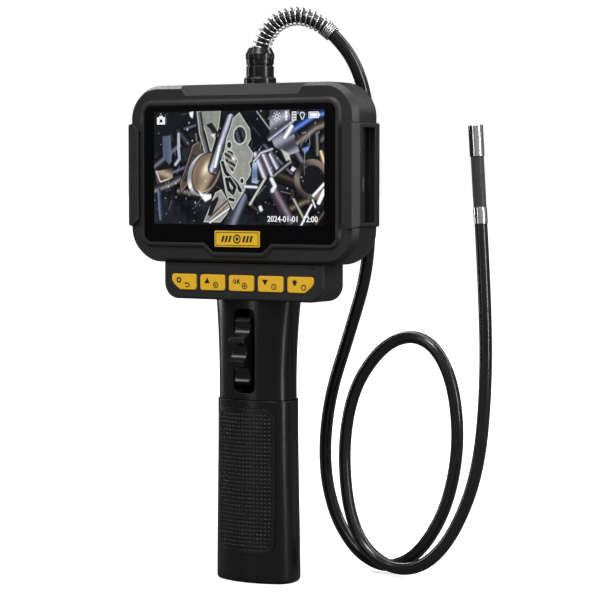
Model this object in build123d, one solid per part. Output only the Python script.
"""Hand-held inspection camera with a flexible insertion tube and a steerable tip.

Millimetres. X is the width, -Y is the front, where the screen faces, and Z is up. The origin is
the centre of the handle's base, on the surface that the camera stands on.
"""

from build123d import *
import math
import os

os.makedirs("parts", exist_ok=True)

# ---------------------------------------------------------------- driving dimensions

running_gap = 0.05      # radial gap of a pin that turns in its hole
fit_gap = 0.1           # gap round a piece that is seated in another
part_line = 0.3         # open line between two shells

# Head
head_width = 148.0
head_height = 98.3
head_bottom = 176.7
head_corner = 19.0
head_wall = 3.0
face_y = -21.5          # flat face of the bezel
split_y = -7.4          # where the bezel meets the rear cover
back_y = 6.5
face_slope_depth = 4.0  # depth of the sloping edge round the face
face_slope_inset = 2.1
rear_round = 8.0
spine_width = 48.0      # raised spine down the back, which carries the gland
spine_y = 12.0
spine_round = 5.0
top_step_height = 6.0   # shallow step cut from the middle of the top front edge
top_step_depth = 4.5
screw_boss_radius = 4.0

# Screen window
window_width = 124.9
window_height = 75.7
window_bottom = 188.0
window_corner = 4.5
window_tab_top = 44.0   # width of the downward tab where it leaves the window
window_tab_tip = 32.0
window_tab_drop = 5.0
window_thickness = 1.2
window_rise = 1.5       # how far the window stands in front of the face
window_rim = 1.75
window_rim_slope = 1.2

# Display and boards
lcd_width = 120.7
lcd_height = 72.0
lcd_bottom = 190.5
lcd_thickness = 3.0
bracket_sheet = 0.8
board_width = 110.0
board_height = 60.0
board_bottom = 195.0
board_thickness = 1.6
board_front_y = -9.7
board_chips = ((-22, 228, 16, 16), (-2, 240, 12, 9), (24, 214, 14, 12), (-38, 212, 9, 12))
chip_thickness = 1.5
screw_radius = 1.0

# Name plate
badge_width = 29.4
badge_height = 8.8
badge_bottom = 185.9
badge_thickness = 0.4
badge_corner = 0.6

# Bumpers
bumper_height = 57.5
bumper_bottom = 196.4
bumper_stand_out = 1.7  # how far a bumper stands out from the side of the head
bumper_lap = 7.5        # how far it laps over the face
bumper_wall = 3.2
bumper_front_y = -23.5
bumper_back_y = 2.5
bumper_slope = 3.0
bumper_edge = 0.8       # small chamfer of the front leg
bumper_back_edge = 1.5
bumper_corner_cut = 4.0 # slant at the top and bottom of the front leg

# Port bay, inside the right bumper
bay_low_y = -16.5
bay_high_y = -3.8
bay_bottom = 199.7
bay_top = 250.5
bay_depth = 6.4
bay_wall = 1.2
usb_width = 8.94
usb_thickness = 3.2
usb_depth = 7.3
usb_z = 220.4
card_width = 13.0
card_thickness = 1.9
card_depth = 14.0
card_z = 238.2
reset_z = 208.1
reset_radius = 0.9

# Keypad
keypad_width = 104.6
keypad_bottom = 156.4
keypad_front_y = -18.5
keypad_back_y = 4.9
keypad_corner = 9.0
keypad_wall = 2.0
key_names = ("key_menu", "key_up", "key_ok", "key_down", "key_light")
key_pitch = 19.05
key_width = 16.4
key_height = 8.8
key_corner = 1.5
key_cut_width = 5.4     # cut lower outer corner of the two outer keys
key_cut_height = 5.2
face_dot_x = 46.0       # two small sensor holes beside the keys
face_dot_z = 174.8
face_dot_radius = 0.55
key_z = 165.9
key_proud = 0.9
key_travel = 0.6
key_gap = 0.25
key_flange = 0.7
key_flange_thickness = 0.8
mat_height = 13.0
mat_thickness = 2.0
mat_sheet = 0.8
mat_dome_radius = 2.6
ribbon_thickness = 0.3

# Handle
handle_wall = 2.4
handle_front_y = -17.0
handle_back_y = 17.0
handle_front_corner = 10.0
handle_crown_radius = 42.0   # the front of the handle bulges a little
handle_back_corner = 20.0
handle_seam = 101.6
grip_wall = 3.0
grip_proud = 0.5
# height and half width of each section, from the bottom up
grip_sections = ((0.0, 24.1), (35.0, 23.6), (70.0, 22.9), (handle_seam - part_line, 22.7))
upper_sections = ((handle_seam, 22.3), (122.0, 22.4), (138.0, 23.2), (keypad_bottom, 25.0))
base_round = 2.2
base_cap_thickness = 3.5
pad_half_width = 18.4
pad_bottom = 16.7
pad_top = 96.9
pad_corner = 7.0
pad_proud = 0.8
pad_depth = 0.8
pad_border = 1.9
pad_field_depth = 0.4
rib_count = 4
rib_height = 8.0
rib_pitch = 18.35
rib_low = 28.7
rib_proud = 0.8
rib_half_width = 17.0
rib_corner = 3.0

# Battery
cell_radius = 9.2
cell_length = 65.0
cell_spacing = 18.8
cell_bottom = 8.0
contact_width = 11.0
contact_thickness = 0.5
holder_end = 1.6
lead_radius = 0.7

# Thumb lever
lever_z = 128.5
lever_thickness = 9.4
lever_radius = 25.0
lever_valley = 21.3
lever_tooth_angles = (-45.0, -15.0, 15.0, 45.0)
lever_tooth_half = 3.5
lever_hub_radius = 6.0
shaft_radius = 2.0
slot_half_width = 6.85
slot_bottom = 105.3
slot_top = 151.8
slot_corner = 3.5
drum_radius = 7.0
drum_groove_radius = 5.9
drum_thickness = 3.0
ear_inner_x = 11.0
ear_thickness = 1.2
ear_half_height = 6.5
ear_front_y = -5.5
bush_radius = 3.0
bush_flange_radius = 4.2
bush_flange = 0.6
bracket_y = 8.2
wire_radius = 0.4

# Gland
collar_radius = 8.9
collar_height = 4.1
gland_radius = 7.65
gland_height = 10.0
gland_groove_radius = 7.0
gland_shank_radius = 6.0
gland_shank_length = 8.0
nut_low_radius = 7.95
nut_top_radius = 6.1
nut_height = 6.3
nut_rib_count = 18
locknut_radius = 8.6
locknut_height = 4.0
seal_wall = 1.6         # rubber seal round the tube
seal_height = 4.0

# Insertion tube
tube_radius = 3.5
tube_bore_gap = 0.3
spring_clearance = 0.4  # between the tube and the spring
spring_wall = 1.1

# Steerable tip
ferrule_length = 8.8
ferrule_radius = 3.8
sleeve_length = 27.6
sleeve_radius = 3.65
sleeve_wall = 0.7
link_wall = 0.6
hinge_count = 5
hinge_angle = 18.0      # each hinge turns this far either way
hinge_clearance = 0.06
capsule_length = 16.8
capsule_radius = 4.0
capsule_wall = 0.5
lens_radius = 1.6
led_count = 6
led_ring_thickness = 0.6

# The tube's route, from inside the gland to the ferrule of the tip.
ROUTE = [
    (0, 0, 284), (0, 0, 295), (5.5, 0.5, 305.5), (15.5, 1.5, 312), (28, 3.5, 312),
    (40.5, 8, 304), (53.5, 14.5, 286), (57, 22.5, 258), (52, 31, 217), (47, 39, 174),
    (31, 45, 136), (13.5, 51.5, 98), (8, 54.5, 61), (14, 55, 32), (28, 54, 12.5),
    (43.5, 53, 4), (60, 51.5, 5), (77, 49.5, 17), (92.5, 48, 42), (100.5, 46, 75),
    (98.5, 44.5, 107), (90, 43.5, 127), (78, 43.5, 135.5), (64, 44, 135), (49, 44.5, 125.5),
    (34, 45, 105), (27, 45.5, 76), (29, 44.5, 43), (37, 44, 20), (52, 42.5, 7.5),
    (69.5, 41, 4.5), (87, 39.5, 11.5), (103.5, 38, 31), (117.5, 36.5, 64),
    (122.5, 35.5, 108), (122, 35.5, 154), (119, 35.5, 199),
]

# ---------------------------------------------------------------- derived places

head_top = head_bottom + head_height
head_middle = head_bottom + head_height / 2
keypad_height = head_bottom - keypad_bottom
bumper_outer_x = head_width / 2 + bumper_stand_out
bumper_inner_x = head_width / 2 - bumper_lap
bumper_top = bumper_bottom + bumper_height
window_front_y = face_y - window_rise
window_back_y = window_front_y + window_thickness
lcd_front_y = window_back_y + fit_gap
lcd_back_y = lcd_front_y + lcd_thickness
lcd_middle = lcd_bottom + lcd_height / 2
bracket_front_y = lcd_back_y + fit_gap
bracket_back_y = bracket_front_y + bracket_sheet
board_back_y = board_front_y + board_thickness
board_middle = board_bottom + board_height / 2
keypad_inner_y = keypad_front_y + keypad_wall
key_flange_front_y = keypad_inner_y + fit_gap
key_back_y = key_flange_front_y + key_flange_thickness
mat_front_y = key_back_y + key_travel + fit_gap
mat_back_y = mat_front_y + mat_thickness
key_board_back_y = mat_back_y + board_thickness
ribbon_back_y = key_board_back_y + ribbon_thickness
seal_radius = tube_radius + seal_wall
spring_radius = tube_radius + spring_clearance + spring_wall
neck_half_width = 19.0
neck_front_y = -12.5
neck_back_y = 8.0
neck_deep_y = 11.0      # the opening goes deeper below the head


def centred_range(count, pitch):
    """Places of count things, pitch apart, centred on zero."""
    return [(i - (count - 1) / 2) * pitch for i in range(count)]


def block(low, high):
    """A box between two corners."""
    size = [b - a for a, b in zip(low, high)]
    middle = [(a + b) / 2 for a, b in zip(low, high)]
    return Pos(*middle) * Box(*size)


def front_sketch(sketch, y):
    """A sketch drawn in X and Z, put at depth y. It faces the front."""
    return Plane(origin=(0, y, 0), x_dir=(1, 0, 0), z_dir=(0, -1, 0)) * sketch


def slab(sketch, low_y, high_y, taper=0):
    """A sketch in X and Z as a plate from high_y forward to low_y."""
    return extrude(front_sketch(sketch, high_y), amount=high_y - low_y, taper=taper)


def rod_y(x, z, radius, low_y, high_y):
    """A round rod along Y."""
    return slab(Pos(x, z) * Circle(radius), low_y, high_y)


def rod_x(y, z, radius, low_x, high_x):
    """A round rod along X."""
    face = Plane(origin=(low_x, y, z), x_dir=(0, 1, 0), z_dir=(1, 0, 0)) * Circle(radius)
    return extrude(face, amount=high_x - low_x)


def rod_between(start, end, radius):
    """A round rod from one point to another."""
    direction = Vector(*end) - Vector(*start)
    face = Plane(origin=start, z_dir=direction) * Circle(radius)
    return extrude(face, amount=direction.length)


def save(name, shape):
    """Writes one named piece."""
    shape.label = name
    export_step(shape, "parts/" + name + ".step")


def rounded_plate(width, height, middle_z, corner):
    """A rounded rectangle in X and Z, centred on X."""
    return Pos(0, middle_z) * RectangleRounded(width, height, corner)


# ---------------------------------------------------------------- head shells


def head_outline(inset=0.0):
    """The head's rounded rectangle, shrunk by inset."""
    return rounded_plate(
        head_width - 2 * inset, head_height - 2 * inset, head_middle, head_corner - inset
    )


def head_envelope():
    """The outside of the head with its sloping face edge, rounded back and rear spine."""
    slope_y = face_y + face_slope_depth
    slope = math.degrees(math.atan(face_slope_inset / face_slope_depth))
    main = slab(head_outline(), slope_y, back_y)
    main = fillet(main.faces().sort_by(Axis.Y)[-1].edges(), rear_round)
    main += slab(head_outline(), face_y, slope_y, taper=slope)
    spine = block((-spine_width / 2, 0, head_bottom), (spine_width / 2, spine_y, head_top))
    spine = fillet(spine.edges().filter_by(Axis.Z).group_by(Axis.Y)[-1], spine_round)
    spine = chamfer(spine.faces().sort_by(Axis.Y)[-1].edges().filter_by(Axis.X), 2.0)
    return main + spine


def head_cavity():
    """The hollow inside the head."""
    room = slab(head_outline(head_wall), face_y + head_wall, back_y - head_wall)
    room = fillet(room.faces().sort_by(Axis.Y)[-1].edges(), rear_round - head_wall)
    spine = block(
        (-spine_width / 2 + head_wall, -4.0, head_bottom + head_wall),
        (spine_width / 2 - head_wall, spine_y - head_wall, head_top - head_wall),
    )
    return room + fillet(spine.edges().filter_by(Axis.Z).group_by(Axis.Y)[-1], 2.0)


def window_outline(grow=0.0):
    """The window with its downward tab, grown by a rim."""
    middle = window_bottom + window_height / 2
    plate = rounded_plate(window_width, window_height, middle, window_corner)
    tab = make_face(
        Polyline(
            (-window_tab_top / 2, window_bottom),
            (-window_tab_tip / 2, window_bottom - window_tab_drop),
            (window_tab_tip / 2, window_bottom - window_tab_drop),
            (window_tab_top / 2, window_bottom),
            (0, middle),
            close=True,
        )
    )
    outline = plate + tab
    return offset(outline, amount=grow, kind=Kind.INTERSECTION) if grow else outline


def top_step():
    """The wedge cut from the middle of the head's top front edge, with slanting ends."""
    low = head_top - top_step_height
    wedge = Plane.YZ * make_face(
        Polyline(
            (face_y - 1, low), (face_y - 1, head_top + 1),
            (face_y + top_step_depth, head_top + 1),
            (face_y + 0.3, low), close=True,
        )
    )
    band = extrude(wedge, amount=60, both=True)
    high = head_top + 1
    ends = make_face(Polyline((-35, low), (-41, high), (43, high), (38, low), close=True))
    return band & slab(ends, face_y - 2, face_y + 10)


def gasket_ring():
    """The seal between the bezel and the rear cover, seated in a groove in both."""
    ring = head_outline(1.6) - head_outline(2.4)
    return slab(ring, split_y - 1.0, split_y + 1.0)


head_screw_places = [
    (side * (head_width / 2 - 9.5), z)
    for side in (-1, 1)
    for z in (head_bottom + 10.8, head_top - 10.8)
]


def bumper(side):
    """One side bumper: a front leg and a side leg round the edge of the head."""
    profile = make_face(
        Polyline(
            (bumper_inner_x, bumper_front_y + bumper_wall),
            (bumper_inner_x, bumper_front_y + bumper_edge),
            (bumper_inner_x + bumper_edge, bumper_front_y),
            (bumper_outer_x - bumper_slope, bumper_front_y),
            (bumper_outer_x, bumper_front_y + bumper_slope + bumper_edge),
            (bumper_outer_x, bumper_back_y - bumper_back_edge),
            (bumper_outer_x - bumper_back_edge, bumper_back_y),
            (bumper_outer_x - bumper_wall, bumper_back_y),
            (bumper_outer_x - bumper_wall, bumper_front_y + bumper_wall),
            close=True,
        )
    )
    body = extrude(Plane.XY.offset(bumper_bottom) * profile, amount=bumper_height)
    tall = make_face(
        Plane(origin=(0, 0, 0), x_dir=(1, 0, 0), z_dir=(0, -1, 0))
        * Polyline(
            (bumper_inner_x, bumper_bottom + bumper_corner_cut),
            (bumper_inner_x + bumper_corner_cut, bumper_bottom),
            (bumper_outer_x, bumper_bottom + bumper_back_edge),
            (bumper_outer_x, bumper_top - bumper_back_edge),
            (bumper_inner_x + bumper_corner_cut, bumper_top),
            (bumper_inner_x, bumper_top - bumper_corner_cut),
            close=True,
        )
    )
    body = body & extrude(tall, amount=60, both=True)
    return body if side > 0 else mirror(body, about=Plane.YZ)


def bay_block(grow, low_x, high_x):
    """The port bay's box, grown sideways, between two widths."""
    return block(
        (low_x, bay_low_y - grow, bay_bottom - grow), (high_x, bay_high_y + grow, bay_top + grow)
    )


bay_floor_x = bumper_outer_x - bay_depth
bay_tray_back_x = bay_floor_x - bay_wall
bumper_leg_x = bumper_outer_x - bumper_wall

left_bumper = bumper(-1)
right_bumper = bumper(1) - bay_block(0, bumper_leg_x - 1, bumper_outer_x + 1)
port_tray = bay_block(bay_wall, bay_tray_back_x, bumper_leg_x - fit_gap)
port_tray -= bay_block(0, bay_floor_x, bumper_outer_x)
port_y = board_back_y + usb_thickness / 2
card_y = board_back_y + card_thickness / 2


def port_opening(y, z, thickness, width, grow):
    """A slot through the tray's floor for one port."""
    half_y = thickness / 2 + grow
    half_z = width / 2 + grow
    return block(
        (bay_tray_back_x - 1, y - half_y, z - half_z), (bay_floor_x + 1, y + half_y, z + half_z)
    )


port_tray -= port_opening(port_y, usb_z, usb_thickness, usb_width, fit_gap)
port_tray -= port_opening(card_y, card_z, card_thickness, card_width, fit_gap)
port_tray -= rod_x(port_y, reset_z, reset_radius, bay_tray_back_x - 1, bay_floor_x + 1)

envelope = head_envelope() - top_step()
cavity = head_cavity()
gasket = gasket_ring() - bay_block(bay_wall + fit_gap, bay_tray_back_x, bumper_outer_x)
bumper_seats = bumper(-1) + bumper(1)
tray_seat = bay_block(bay_wall + fit_gap, bay_tray_back_x - 1, bumper_outer_x)

rim_slope_angle = math.degrees(math.atan(window_rim_slope / window_rise))
window_frame = slab(
    window_outline(window_rim + window_rim_slope), window_front_y, face_y, taper=rim_slope_angle
)
lcd_opening = slab(
    Pos(0, lcd_middle) * Rectangle(lcd_width + 2 * fit_gap, lcd_height + 2 * fit_gap),
    window_front_y - 1,
    face_y + head_wall + 1,
)
window_seat = slab(window_outline(fit_gap), window_front_y - 1, window_back_y)
neck_opening = block(
    (-neck_half_width, neck_front_y, keypad_bottom - 1),
    (neck_half_width, neck_back_y, head_bottom + head_wall + 1),
)

shell = envelope - cavity
bezel = shell & block((-90, face_y - 5, 100), (90, split_y - part_line / 2, 300))
for x, z in head_screw_places:
    bezel += rod_y(x, z, screw_boss_radius, face_y + head_wall - 0.5, split_y - part_line / 2)
bezel += window_frame
bezel -= window_seat
bezel -= lcd_opening
bezel -= bumper_seats + gasket + tray_seat + neck_opening
for x, z in head_screw_places:
    bezel -= rod_y(x, z, screw_radius + running_gap, -16, 0)

rear_cover = shell & block((-90, split_y + part_line / 2, 100), (90, spine_y + 5, 300))
for x, z in head_screw_places:
    rear_cover += rod_y(
        x, z, screw_boss_radius, split_y + part_line / 2, back_y - head_wall + 0.5
    )
rear_cover -= bumper_seats + gasket + tray_seat + neck_opening
screw_head_y = back_y - 1.8
for x, z in head_screw_places:
    rear_cover -= rod_y(x, z, screw_radius + running_gap, -10, back_y)
    rear_cover -= rod_y(x, z, 2.5, screw_head_y, back_y + 1)
gland_hole = Cylinder(gland_shank_radius + fit_gap, 4 * head_wall)
rear_cover -= Pos(0, 0, head_top - head_wall) * gland_hole

case_screws = [
    rod_y(x, z, screw_radius, -15.5, screw_head_y) + rod_y(x, z, 2.3, screw_head_y, back_y - 0.3)
    for x, z in head_screw_places
]

save("display_bezel", bezel)
save("display_rear_cover", rear_cover)
save("housing_gasket", gasket)
save("left_bumper", left_bumper)
save("right_bumper", right_bumper)
save("port_tray", port_tray)

# ---------------------------------------------------------------- screen and boards

screen_window = slab(window_outline(), window_front_y, window_back_y)
save("screen_window", screen_window)

badge = rounded_plate(badge_width, badge_height, badge_bottom + badge_height / 2, badge_corner)
save("name_badge", slab(badge, window_front_y - badge_thickness, window_front_y))

lcd_outline = Pos(0, lcd_middle) * Rectangle(lcd_width, lcd_height)
save("lcd_panel", slab(lcd_outline, lcd_front_y, lcd_back_y))

board_screw_places = [
    (x, z)
    for x in (-board_width / 2 + 5, board_width / 2 - 5)
    for z in (board_bottom + 5, board_bottom + board_height - 5)
]
bracket_plate = Pos(0, lcd_middle) * Rectangle(lcd_width - 4, lcd_height - 4)
bracket = slab(bracket_plate, bracket_front_y, bracket_back_y)
for x in (-38, 0, 38):
    bracket_window = Pos(x, lcd_middle) * RectangleRounded(26, 44, 4)
    bracket -= slab(bracket_window, bracket_front_y - 1, bracket_back_y + 1)
for x, z in board_screw_places:
    bracket += rod_y(x, z, 2.4, bracket_back_y, board_front_y)
    bracket -= rod_y(x, z, screw_radius + running_gap, bracket_front_y + 0.4, board_front_y)
save("lcd_bracket", bracket)

board_plate = Pos(0, board_middle) * RectangleRounded(board_width, board_height, 1.5)
board = slab(board_plate, board_front_y, board_back_y)
for x, z in board_screw_places:
    board -= rod_y(x, z, screw_radius + fit_gap, board_front_y - 1, board_back_y + 1)
for x, z, width, height in board_chips:
    chip = Pos(x, z) * Rectangle(width, height)
    board += slab(chip, board_back_y, board_back_y + chip_thickness)
ribbon_socket_z = board_bottom + 3.5
board += slab(Pos(0, ribbon_socket_z) * Rectangle(18, 5), ribbon_back_y, board_front_y)
board += block(
    (-18.5, board_back_y, board_bottom + 1), (-13.5, board_back_y + 4.6, board_bottom + 8)
)
save("main_board", board)
case_screws += [
    rod_y(x, z, screw_radius, bracket_back_y + 1, board_back_y)
    + rod_y(x, z, 1.9, board_back_y, board_back_y + 1.2)
    for x, z in board_screw_places
]


def usb_socket():
    """The USB-C socket: a flat oval shell with a tongue, open towards the port bay."""
    face = Plane(origin=(bay_floor_x, port_y, usb_z), x_dir=(0, 0, 1), z_dir=(-1, 0, 0))
    outer = extrude(face * SlotOverall(usb_width, usb_thickness), amount=usb_depth)
    inner = extrude(face * SlotOverall(usb_width - 0.6, usb_thickness - 0.6), amount=usb_depth - 1)
    tongue = extrude(face.offset(0.8) * Rectangle(6.7, 0.7), amount=usb_depth - 1.3)
    return outer - inner + tongue


def card_socket():
    """The memory card slot, open towards the port bay."""
    low = (bay_floor_x - card_depth, board_back_y, card_z - card_width / 2)
    high = (bay_floor_x, board_back_y + card_thickness, card_z + card_width / 2)
    slot_low = (bay_floor_x - card_depth + 1, board_back_y + 0.5, card_z - 5.6)
    slot_high = (bay_floor_x + 1, board_back_y + 1.4, card_z + 5.6)
    return block(low, high) - block(slot_low, slot_high)


save("usb_c_port", usb_socket())
save("card_slot", card_socket())

# ---------------------------------------------------------------- keypad


def keypad_outline(inset=0.0):
    """The keypad bar seen from the front: round bottom corners, square top."""
    half = keypad_width / 2 - inset
    low = keypad_bottom + inset
    high = head_bottom
    corner = keypad_corner - inset
    plate = Pos(0, (low + high) / 2) * Rectangle(2 * half, high - low)
    return fillet(plate.vertices().group_by(Axis.Y)[0], corner)


def keypad_body(inset=0.0):
    """The keypad bar, chamfered in front and rounded behind."""
    body = slab(keypad_outline(inset), keypad_front_y + inset, keypad_back_y - inset)
    if inset:
        return body
    top = Plane.XY.offset(head_bottom)
    front = body.faces().sort_by(Axis.Y)[0].edges()
    body = chamfer([e for e in front if e.center().Z < top.origin.Z - 0.1], 1.0)
    back = body.faces().sort_by(Axis.Y)[-1].edges()
    return fillet([e for e in back if e.center().Z < top.origin.Z - 0.1], 4.0)


def neck():
    """The wedge that carries the spine of the head down to the back of the handle."""
    side = make_face(
        Plane.YZ
        * Polyline(
            (0, keypad_bottom), (handle_back_y, keypad_bottom), (spine_y, head_bottom),
            (0, head_bottom), close=True,
        )
    )
    body = extrude(side, amount=spine_width / 2, both=True)
    rear = [e for e in body.edges() if e.center().Y > spine_y and abs(e.center().X) > 1]
    return fillet(rear, spine_round)


def key_sketch(index, grow=0.0):
    """One key's outline at its place; the outer keys have a cut lower outer corner."""
    x = (index - 2) * key_pitch
    outline = RectangleRounded(key_width + 2 * grow, key_height + 2 * grow, key_corner + grow)
    side = {0: -1, len(key_names) - 1: 1}.get(index, 0)
    if side:
        far = key_width / 2 + grow
        low = -key_height / 2 - grow
        wide, tall = key_cut_width - grow, key_cut_height - grow
        cut = make_face(
            Polyline(
                (side * (far + 1), low - 1), (side * (far - wide - 1), low - 1),
                (side * (far - wide), low), (side * (far - 0.3 * wide), low + 0.55 * tall),
                (side * far, low + tall), (side * (far + 1), low + tall),
                close=True,
            )
        )
        outline -= cut
    return Pos(x, key_z) * outline


keypad_shell = keypad_body() + neck() - keypad_body(keypad_wall) - neck_opening
keypad_shell -= block(
    (-neck_half_width, neck_front_y, keypad_bottom - 1),
    (neck_half_width, neck_deep_y, head_bottom - keypad_wall),
)
keypad_roof = block(
    (-keypad_width / 2, keypad_front_y, head_bottom - keypad_wall),
    (keypad_width / 2, keypad_back_y, head_bottom),
)
keypad_shell += (keypad_roof & keypad_body()) - neck_opening
keypad_front = keypad_shell & block((-90, -60, 100), (90, split_y - part_line / 2, 200))
keypad_rear = keypad_shell & block((-90, split_y + part_line / 2, 100), (90, 60, 200))
for index in range(len(key_names)):
    keypad_front -= slab(key_sketch(index, key_gap), keypad_front_y - 1, keypad_inner_y + 0.5)
for side in (-1, 1):
    keypad_front -= rod_y(
        side * face_dot_x, face_dot_z, face_dot_radius, keypad_front_y - 1, keypad_inner_y + 1
    )
save("keypad_front_cover", keypad_front)
save("keypad_rear_cover", keypad_rear)

for index, name in enumerate(key_names):
    cap = slab(key_sketch(index), keypad_front_y - key_proud, key_back_y)
    cap = chamfer(cap.faces().sort_by(Axis.Y)[0].edges(), 0.3)
    cap += slab(key_sketch(index, key_flange), key_flange_front_y, key_back_y)
    save(name, cap)

mat_width = keypad_width - 2 * keypad_wall - 8
mat_outline = Pos(0, key_z) * Rectangle(mat_width, mat_height)
mat = slab(mat_outline, mat_back_y - mat_sheet, mat_back_y)
for x in centred_range(len(key_names), key_pitch):
    mat += rod_y(x, key_z, mat_dome_radius, mat_front_y, mat_back_y - mat_sheet)
save("key_mat", mat)
save("key_board", slab(mat_outline, mat_back_y, key_board_back_y))
save(
    "ribbon_cable",
    block((-8, key_board_back_y, key_z - 4), (8, ribbon_back_y, ribbon_socket_z + 2)),
)

# ---------------------------------------------------------------- handle


def handle_section(z, half_width, inset=0.0):
    """The handle's D-shaped section: a crowned front with round corners, and round behind."""
    depth = handle_back_y - handle_front_y - 2 * inset
    middle = (handle_back_y + handle_front_y) / 2
    crown = handle_crown_radius - inset
    face = Pos(0, middle) * Rectangle(2 * (half_width - inset), depth)
    face &= Pos(0, handle_front_y + inset + crown) * Circle(crown)
    face = fillet(face.vertices().group_by(Axis.Y)[0], handle_front_corner - inset)
    face = fillet(face.vertices().group_by(Axis.Y)[-1], handle_back_corner - inset)
    return Plane.XY.offset(z) * face


def handle_loft(sections, inset=0.0):
    """A smooth solid through the sections."""
    return loft([handle_section(z, half, inset) for z, half in sections])


def past_ends(sections):
    """The same sections with the first and last moved 1 mm out, for a clean cut through."""
    low = (sections[0][0] - 1.0, sections[0][1])
    high = (sections[-1][0] + 1.0, sections[-1][1])
    return (low,) + tuple(sections[1:-1]) + (high,)


upper = handle_loft(upper_sections) - handle_loft(past_ends(upper_sections), handle_wall)
slot = slab(
    Pos(0, (slot_bottom + slot_top) / 2)
    * RectangleRounded(2 * slot_half_width, slot_top - slot_bottom, slot_corner),
    -40,
    -8,
)
split_gap = part_line / 4
front_shell = (upper - slot) & block((-60, -60, 90), (60, -split_gap, 170))
rear_shell = upper & block((-60, split_gap, 90), (60, 60, 170))
bracket_screw_z = (lever_z - 5.0, lever_z + 5.0)
bracket_sheet_y = bracket_y + ear_thickness
boss_end_y = handle_back_y - handle_wall + 0.6
for z in bracket_screw_z:
    rear_shell += rod_y(0, z, 3.0, bracket_sheet_y, boss_end_y)
    rear_shell -= rod_y(0, z, screw_radius + running_gap, bracket_sheet_y - 1, 30)
    rear_shell -= rod_y(0, z, 2.3, handle_back_y - 1.5, 30)
save("handle_front_shell", front_shell)
save("handle_rear_shell", rear_shell)
case_screws += [
    rod_y(0, z, screw_radius, bracket_y, handle_back_y - 1.5)
    + rod_y(0, z, 2.1, handle_back_y - 1.5, handle_back_y - 0.2)
    for z in bracket_screw_z
]
save("case_screws", Compound(children=case_screws))

grip_outer = handle_loft(grip_sections, -grip_proud)
grip_outer = fillet(grip_outer.faces().sort_by(Axis.Z)[0].edges(), base_round)
grip_inner = handle_loft(past_ends(grip_sections), grip_wall - grip_proud)


def pad_prism(border=0.0):
    """The pad's outline, shrunk by a border, as a block through the front of the grip."""
    width = 2 * (pad_half_width - border)
    height = pad_top - pad_bottom - 2 * border
    return slab(rounded_plate(width, height, (pad_bottom + pad_top) / 2, pad_corner - border), -40, 0)


pad_outer = handle_loft(grip_sections, -grip_proud - pad_proud)
pad_field = handle_loft(grip_sections, -grip_proud - pad_proud + pad_field_depth)
pad_inner = handle_loft(past_ends(grip_sections), -grip_proud + pad_depth)
pad_seat = (pad_outer & pad_prism()) - pad_inner
pad = pad_seat - ((pad_outer & pad_prism(pad_border)) - pad_field)

rib_band = handle_loft(grip_sections, -grip_proud - rib_proud)
rib_band -= handle_loft(past_ends(grip_sections), -grip_proud + 1)
ribs = None
for i in range(rib_count):
    low = rib_low + i * rib_pitch
    window = slab(
        rounded_plate(2 * rib_half_width, rib_height, low + rib_height / 2, rib_corner), 0, 40
    )
    ribs = rib_band & window if ribs is None else ribs + (rib_band & window)

grip = grip_outer - grip_inner - pad_seat + ribs
save("grip_sleeve", grip)
save("grip_pad", pad)

cap_solid = handle_loft(grip_sections, grip_wall - grip_proud + fit_gap)
save("base_cap", cap_solid & block((-60, -60, 0), (60, 60, base_cap_thickness)))

holder_low = cell_bottom - contact_thickness - holder_end - 0.4
holder_high = cell_bottom + cell_length + contact_thickness + holder_end + 0.4
holder_plug = handle_loft(grip_sections, grip_wall - grip_proud + 0.4)
holder = holder_plug & block((-60, -60, holder_low), (60, 60, holder_high))
holder -= block((-60, -60, holder_low + holder_end), (60, -1.0, holder_high - holder_end))
cells = []
contacts = []
for x in centred_range(2, cell_spacing):
    hollow = Cylinder(cell_radius + fit_gap, holder_high - holder_low - 2 * holder_end)
    holder -= Pos(x, 0, (holder_low + holder_high) / 2) * hollow
    cells.append(Pos(x, 0, cell_bottom + cell_length / 2) * Cylinder(cell_radius, cell_length))
    for z in (cell_bottom, cell_bottom + cell_length + contact_thickness):
        contact = Box(contact_width, contact_width, contact_thickness)
        contacts.append(Pos(x, 0, z - contact_thickness / 2) * contact)
save("battery_cells", Compound(children=cells))
save("battery_holder", holder)
lead_y = board_back_y + 3.0
leads = [
    rod_between((x, lead_y, holder_high), (x, lead_y, board_bottom + 1), lead_radius)
    for x in (-15.0, -17.0)
]
save("battery_wiring", Compound(children=contacts + leads))

# ---------------------------------------------------------------- thumb lever


def polar(radius, degrees):
    """A point of the lever's rim, with zero degrees to the front."""
    angle = math.radians(degrees)
    return (-radius * math.cos(angle), lever_z + radius * math.sin(angle))


def lever_profile():
    """The lever from the side: a hub and a sector with raised finger teeth."""
    edges = []
    first = polar(lever_radius, lever_tooth_angles[0] - lever_tooth_half)
    last = polar(lever_radius, lever_tooth_angles[-1] + lever_tooth_half)
    hub_low = polar(lever_hub_radius, -80)
    hub_high = polar(lever_hub_radius, 80)
    edges.append(Line(hub_low, first))
    for i, angle in enumerate(lever_tooth_angles):
        start = polar(lever_radius, angle - lever_tooth_half)
        end = polar(lever_radius, angle + lever_tooth_half)
        edges.append(ThreePointArc(start, polar(lever_radius, angle), end))
        if i + 1 < len(lever_tooth_angles):
            following = lever_tooth_angles[i + 1]
            valley = polar(lever_valley, (angle + following) / 2)
            next_start = polar(lever_radius, following - lever_tooth_half)
            edges.append(ThreePointArc(end, valley, next_start))
    edges.append(Line(last, hub_high))
    edges.append(ThreePointArc(hub_high, polar(lever_hub_radius, 180), hub_low))
    return Plane.YZ * make_face(edges)


lever = extrude(lever_profile(), amount=lever_thickness / 2, both=True)
lever -= rod_x(0, lever_z, shaft_radius + running_gap, -10, 10)
save("thumb_lever", lever)

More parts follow.
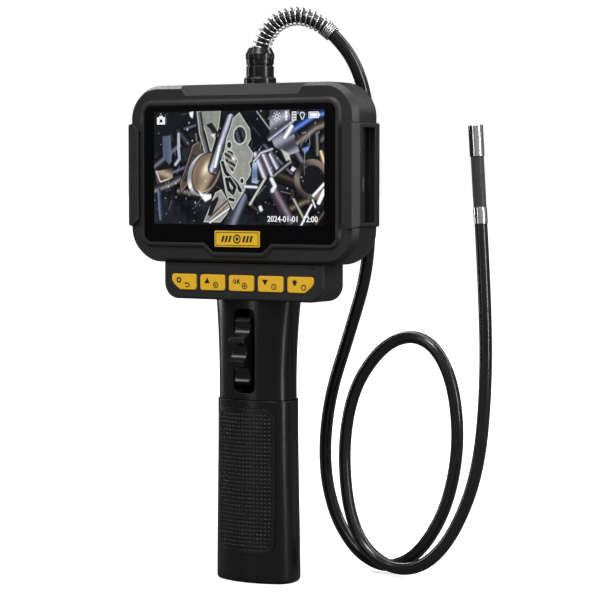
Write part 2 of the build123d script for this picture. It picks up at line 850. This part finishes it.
drum_x = lever_thickness / 2
drum = rod_x(0, lever_z, drum_radius, drum_x, drum_x + drum_thickness)
groove = rod_x(0, lever_z, drum_radius + 1, drum_x + 1, drum_x + 2) - rod_x(
    0, lever_z, drum_groove_radius, drum_x + 1, drum_x + 2
)
drum -= groove + rod_x(0, lever_z, shaft_radius + running_gap, 0, 20)
save("cable_drum", drum)

ear_end_x = ear_inner_x + ear_thickness
save("lever_shaft", rod_x(0, lever_z, shaft_radius, -ear_end_x - 1, ear_end_x + 1))
lever_bracket = block(
    (-ear_end_x, bracket_y, lever_z - ear_half_height - 2),
    (ear_end_x, bracket_sheet_y, lever_z + ear_half_height + 2),
)
bushes = []
for side in (-1, 1):
    ear = block(
        (ear_inner_x, ear_front_y, lever_z - ear_half_height),
        (ear_end_x, bracket_sheet_y, lever_z + ear_half_height),
    )
    bush = rod_x(0, lever_z, bush_radius, ear_inner_x, ear_end_x)
    bush += rod_x(0, lever_z, bush_flange_radius, ear_inner_x - bush_flange, ear_inner_x)
    bush -= rod_x(0, lever_z, shaft_radius + running_gap, 0, 20)
    ear -= rod_x(0, lever_z, bush_radius + running_gap, 0, 20)
    if side < 0:
        ear = mirror(ear, about=Plane.YZ)
        bush = mirror(bush, about=Plane.YZ)
    lever_bracket += ear
    bushes.append(bush)
for z in bracket_screw_z:
    lever_bracket -= rod_y(0, z, screw_radius + running_gap, 0, 20)
save("lever_bracket", lever_bracket)
save("shaft_bushes", Compound(children=bushes))

wire_x = drum_x + drum_thickness / 2
wire_y = drum_radius + wire_radius + 0.3
wire_end_x = 1.6
wire_end_y = 1.2
save(
    "pull_wires",
    Compound(
        children=[
            rod_between(
                (wire_x, side * wire_y, lever_z),
                (wire_end_x, side * wire_end_y, ROUTE[0][2] - 1),
                wire_radius,
            )
            for side in (-1, 1)
        ]
    ),
)

# ---------------------------------------------------------------- gland

tube_bore = tube_radius + tube_bore_gap
gland_low = head_top + collar_height
gland_top = gland_low + gland_height
nut_top = gland_top + nut_height


def ring(low, high, outer, inner):
    """A ring on the Z axis, for the gland and for the tip before it is placed."""
    body = Pos(0, 0, (low + high) / 2) * Cylinder(outer, high - low)
    return body - Pos(0, 0, (low + high) / 2) * Cylinder(inner, high - low + 2)


def chamfer_top(body, amount):
    """A ring with its outer top edge chamfered."""
    top_edges = body.edges().filter_by(GeomType.CIRCLE).sort_by(Axis.Z)[-2:]
    return chamfer(top_edges.sort_by(SortBy.RADIUS)[-1:], amount)


collar = ring(head_top, gland_low, collar_radius, gland_shank_radius + fit_gap)
save("gland_collar", chamfer_top(collar, 0.8))

gland = ring(gland_low, gland_top, gland_radius, tube_bore)
gland += ring(head_top - gland_shank_length, gland_low, gland_shank_radius, tube_bore)
gland -= ring(gland_top - 4.0, gland_top - 3.0, gland_radius + 1, gland_groove_radius)
save("gland_body", gland)

nut_side = make_face(
    Plane.XZ
    * Polyline(
        (tube_bore, gland_top), (nut_low_radius, gland_top), (nut_low_radius, gland_top + 2.6),
        (nut_top_radius, nut_top), (tube_bore, nut_top), close=True,
    )
)
nut = revolve(nut_side, axis=Axis.Z)
for i in range(nut_rib_count):
    notch = Pos(nut_low_radius + 0.15, 0, gland_top + 1.3) * Cylinder(0.5, 2.6)
    nut -= Rot(0, 0, i * 360 / nut_rib_count) * notch
nut -= ring(gland_top, gland_top + seal_height, seal_radius + fit_gap, tube_bore - 1)
nut -= Pos(0, 0, nut_top) * Cylinder(tube_bore + 0.8, 8)
save("gland_nut", nut)
save("gland_seal", ring(gland_top, gland_top + seal_height, seal_radius, tube_radius + running_gap))
locknut_plan = Pos(0, 0, head_top - head_wall - locknut_height) * RegularPolygon(locknut_radius, 6)
locknut = extrude(locknut_plan, amount=locknut_height)
locknut -= Pos(0, 0, head_top - head_wall) * Cylinder(gland_shank_radius + running_gap, 20)
save("gland_locknut", locknut)

# ---------------------------------------------------------------- insertion tube


def turn_radii(points):
    """For each inner point, 0.45 of its shorter run over the tangent of half its turn."""
    radii = []
    for before, here, after in zip(points, points[1:], points[2:]):
        first = Vector(*here) - Vector(*before)
        second = Vector(*after) - Vector(*here)
        half_turn = math.radians(first.get_angle(second) / 2)
        radii.append(0.45 * min(first.length, second.length) / math.tan(half_turn))
    return radii


route_radii = turn_radii(ROUTE)
print("tube radii", [round(r, 1) for r in route_radii])
tube_path = FilletPolyline(*ROUTE, radius=route_radii)
start_plane = Plane(origin=ROUTE[0], z_dir=tube_path % 0)
tube = sweep(start_plane * Circle(tube_radius), path=tube_path)
print("tube length", round(tube_path.length, 1))
straight_volume = math.pi * tube_radius**2 * tube_path.length
print("tube volume", round(tube.volume), "section x length", round(straight_volume))
save("insertion_tube", tube)

spring_edges = tube_path.edges()[1:9]
spring_path = Wire(spring_edges)
spring_plane = Plane(origin=spring_path @ 0, z_dir=spring_path % 0)
spring_section = spring_plane * (Circle(spring_radius) - Circle(spring_radius - spring_wall))
spring = sweep(spring_section, path=spring_path)
spring -= block((-20, -20, nut_top - 20), (20, 20, nut_top + fit_gap))
save("strain_spring", spring)

# ---------------------------------------------------------------- steerable tip

tip_start = Vector(*ROUTE[-1])
tip_direction = (tip_start - Vector(*ROUTE[-2])).normalized()
hinge_direction = Vector(0, 1, 0)
tip_plane = Plane(origin=tip_start, x_dir=hinge_direction.cross(tip_direction), z_dir=tip_direction)
tip_location = tip_plane.location
sleeve_start = ferrule_length
link_pitch = sleeve_length / hinge_count
hinge_heights = [sleeve_start + link_pitch * (i + 0.5) for i in range(hinge_count)]
capsule_start = sleeve_start + sleeve_length


def relieve(body, hinge_height, above):
    """Slopes an end back from the hinge line so that two links can turn without meeting."""
    slope = hinge_angle / 2 + 0.6
    for side in (-1, 1):
        wedge = Box(40, 40, 20)
        wedge = Pos(0, 0, -10) * wedge if above else Pos(0, 0, 10) * wedge
        tilt = side * slope if above else -side * slope
        shift = hinge_clearance if above else -hinge_clearance
        wedge = Pos(0, 0, hinge_height + shift) * Rot(0, tilt, 0) * wedge
        low_x = 0 if side < 0 else -20
        half = block((low_x, -20, -50), (low_x + 20, 20, 100))
        body -= wedge & half
    return body


def tip_piece(low, high, outer, inner, hinge_below, hinge_above):
    """A length of the bending section between two hinges."""
    body = ring(low, high, outer, inner)
    if hinge_below is not None:
        body = relieve(body, hinge_below, True)
    if hinge_above is not None:
        body = relieve(body, hinge_above, False)
    return body


sleeve_bore = sleeve_radius - sleeve_wall
link_radius = sleeve_bore - running_gap
save("rear_ferrule", tip_location * ring(0, ferrule_length, ferrule_radius, 2.2))
bounds = [sleeve_start] + hinge_heights + [capsule_start]
for i in range(hinge_count + 1):
    low, high = bounds[i], bounds[i + 1]
    below = low if i > 0 else None
    above = high if i < hinge_count else None
    sleeve = tip_piece(low, high, sleeve_radius, sleeve_bore, below, above)
    save("sleeve_segment_%d" % i, tip_location * sleeve)
    if 0 < i < hinge_count:
        link = tip_piece(low, high, link_radius, link_radius - link_wall, below, above)
        save("bending_link_%d" % i, tip_location * link)

capsule_end = capsule_start + capsule_length
capsule_bore = capsule_radius - capsule_wall
capsule = ring(capsule_start, capsule_end, capsule_radius, capsule_bore)
capsule = chamfer_top(capsule, 0.25)
capsule += ring(capsule_start, capsule_start + 1, capsule_radius, 2.0)
save("tip_capsule", tip_location * capsule)

lens_end = capsule_end - 0.3
led_back = lens_end - 0.5 - led_ring_thickness
insert_radius = capsule_bore - running_gap
led_circle = (lens_radius + 0.4 + insert_radius) / 2
window_disc = Pos(0, 0, lens_end - 0.2) * Cylinder(insert_radius, 0.4)
save("lens_window", tip_location * window_disc)
led_ring = ring(led_back, led_back + led_ring_thickness, insert_radius, lens_radius + 0.4)
for i in range(led_count):
    led = Pos(led_circle, 0, led_back + led_ring_thickness + 0.04) * Box(0.8, 1.0, 0.08)
    led_ring += Rot(0, 0, i * 360 / led_count) * led
save("led_ring", tip_location * led_ring)
module = Pos(0, 0, led_back - 4.0) * Cylinder(insert_radius, 8.0)
module += Pos(0, 0, led_back + led_ring_thickness / 2) * Cylinder(lens_radius, led_ring_thickness)
save("camera_module", tip_location * module)
for i, height in enumerate(hinge_heights):
    point = tip_start + tip_direction * height
    print("hinge", i + 1, [round(v, 4) for v in point])
print("tip end", [round(v, 3) for v in (tip_start + tip_direction * capsule_end)])
print("tip direction", [round(v, 6) for v in tip_direction])
